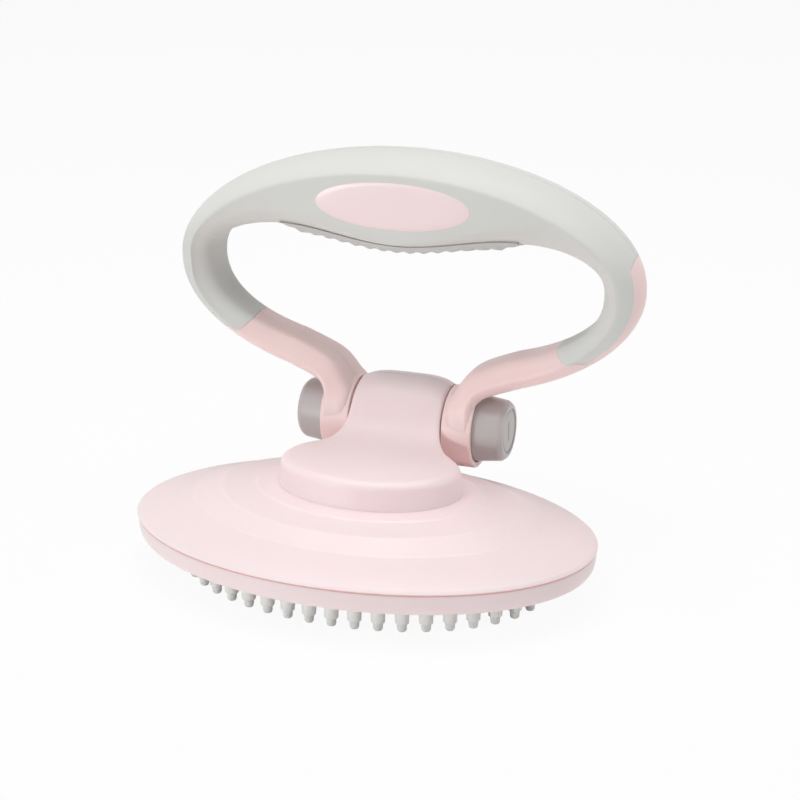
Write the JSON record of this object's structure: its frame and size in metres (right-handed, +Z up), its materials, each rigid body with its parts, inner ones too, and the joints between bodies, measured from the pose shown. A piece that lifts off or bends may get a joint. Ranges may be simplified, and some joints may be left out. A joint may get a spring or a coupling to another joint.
{
  "type": "scalp massager brush",
  "caption": "Oval scalp massage head with rings of soft silicone pins and a tilting loop handle, locked by a push button at each end of its hinge.",
  "frame": {"origin": "under the middle of the oval head, on the plane of the pin tips", "axes": "+X to the right along the hinge axis, +Y to the rear where the hinge is, +Z up"},
  "size_m": [0.132, 0.0894, 0.1088],
  "materials": {
    "pink_abs": "satin moulded",
    "inner_abs": "plain moulded",
    "bearing_plastic": "plain moulded",
    "grip_elastomer": "soft matt",
    "strip_elastomer": "soft matt, ribbed",
    "pin_silicone": "soft, translucent white",
    "inlay_plastic": "smooth satin",
    "button_plastic": "satin moulded",
    "zinc_steel": "zinc plated"
  },
  "bodies": {
    "head": {"bristle_pad": "pin_silicone", "rim_ring": "pink_abs", "backing_plate": "inner_abs", "plate_screws": "zinc_steel", "dome_cover": "pink_abs", "neck_hood": "pink_abs", "neck_rear_cover": "pink_abs", "neck_screws": "zinc_steel", "hinge_barrel": "bearing_plastic", "trunnion_left": "bearing_plastic", "trunnion_right": "bearing_plastic"},
    "handle": {"washer_left": "bearing_plastic", "washer_right": "bearing_plastic", "hinge_foot_left": "pink_abs", "hinge_foot_right": "pink_abs", "handle_front_shell": "pink_abs", "handle_rear_shell": "pink_abs", "grip_front": "grip_elastomer", "grip_rear": "grip_elastomer", "finger_strip": "strip_elastomer", "badge_plate": "inlay_plastic", "handle_screws": "zinc_steel"},
    "left_button": {"button_left": "button_plastic", "plunger_left": "bearing_plastic", "spring_left": "zinc_steel", "button_screw_left": "zinc_steel"},
    "right_button": {"button_right": "button_plastic", "plunger_right": "bearing_plastic", "spring_right": "zinc_steel", "button_screw_right": "zinc_steel"}
  },
  "joints": [
    {"name": "handle_tilt", "type": "hinge", "parent": "head", "child": "handle", "pos_m": [0, 0.0355, 0.032], "axis": [1, 0, 0], "range_deg": [-90, 30]},
    {"name": "left_press", "type": "slide", "parent": "handle", "child": "left_button", "axis": [1, 0, 0], "range_m": [0, 0.0025], "stiffness_N_per_m": 600, "springref_m": -0.001, "deforming": ["spring_left"]},
    {"name": "right_press", "type": "slide", "parent": "handle", "child": "right_button", "axis": [-1, 0, 0], "range_m": [0, 0.0025], "stiffness_N_per_m": 600, "springref_m": -0.001, "deforming": ["spring_right"]}
  ]
}
